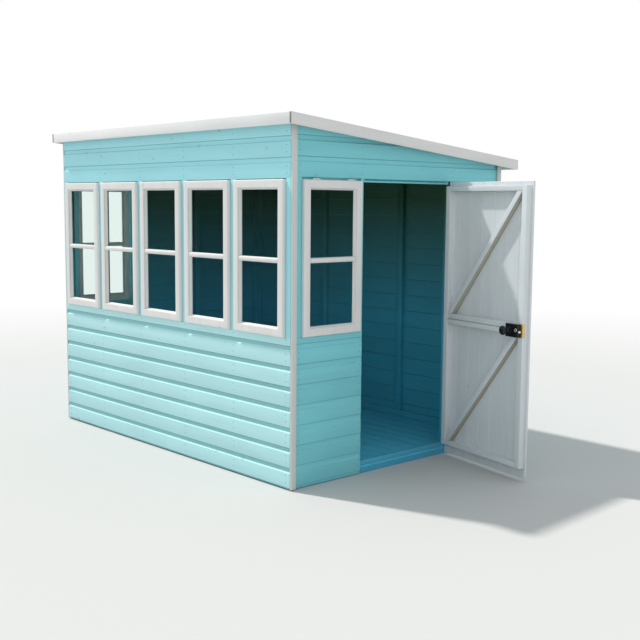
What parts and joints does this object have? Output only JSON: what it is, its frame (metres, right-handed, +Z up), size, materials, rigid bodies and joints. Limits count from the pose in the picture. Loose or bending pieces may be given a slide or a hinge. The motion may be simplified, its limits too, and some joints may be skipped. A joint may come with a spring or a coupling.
{
  "type": "garden shed",
  "caption": "Pent-roofed wooden garden shed with a long glazed front, a sash beside an outward-opening braced door, boarded walls and floor, and a felted roof.",
  "frame": {"origin": "on the ground in the middle of the floor plan, under the middle floor bearer", "axes": "+X towards the end with the doorway, -Y towards the high glazed front, +Z up"},
  "size_m": [3.1675, 1.877, 1.978],
  "materials": {
    "wall_paint": "teal paint on softwood boards",
    "frame_paint": "teal paint on softwood framing",
    "floor_paint": "teal floor paint on softwood boards",
    "bearer_timber": "pressure-treated softwood",
    "cream_joinery": "pale cream-grey paint",
    "cream_trim": "pale cream-grey paint",
    "door_paint": "pale cream-grey paint",
    "roof_timber": "bare softwood",
    "roof_felt": "mineral-surfaced bitumen felt",
    "window_glass": "clear",
    "hinge_steel": "zinc-plated",
    "black_ironmongery": "black japanned",
    "lock_black": "gloss black japanned",
    "lock_brass": "polished"
  },
  "bodies": {
    "shed": {"floor_bearers": "bearer_timber", "floor_boards": "floor_paint", "front_wall_lower": "wall_paint", "front_wall_upper": "wall_paint", "front_wall_strips": "wall_paint", "front_wall_studs": "frame_paint", "front_wall_rails": "frame_paint", "front_window_1": "cream_joinery", "front_window_2": "cream_joinery", "front_window_3": "cream_joinery", "front_window_4": "cream_joinery", "front_window_5": "cream_joinery", "window_panes": "window_glass", "left_window": "cream_joinery", "right_window": "cream_joinery", "right_window_hinges": "hinge_steel", "left_wall_lower": "wall_paint", "left_wall_rear": "wall_paint", "left_wall_upper": "wall_paint", "right_wall_lower": "wall_paint", "right_wall_rear": "wall_paint", "right_wall_upper": "wall_paint", "end_wall_strips": "wall_paint", "end_wall_studs": "frame_paint", "end_wall_rails": "frame_paint", "door_threshold": "floor_paint", "back_wall": "wall_paint", "back_wall_studs": "frame_paint", "back_wall_rails": "frame_paint", "corner_trims": "cream_trim", "roof_purlins": "roof_timber", "roof_boards": "roof_timber", "roof_felt": "roof_felt", "fascias": "cream_trim", "bargeboards": "cream_trim", "door_hinge_plates": "black_ironmongery", "door_keep": "lock_black"},
    "door": {"door_boards": "door_paint", "door_stiles": "door_paint", "door_rails": "door_paint", "door_braces": "door_paint", "door_hinge_straps": "black_ironmongery", "door_lock": "lock_black", "door_lock_faceplate": "lock_brass", "door_knobs": "lock_black"}
  },
  "joints": [
    {"name": "door_hinge", "type": "hinge", "parent": "shed", "child": "door", "pos_m": [1.2053, 0.392, 0.833], "axis": [0, 0, 1], "range_deg": [-78.4, 87]}
  ]
}
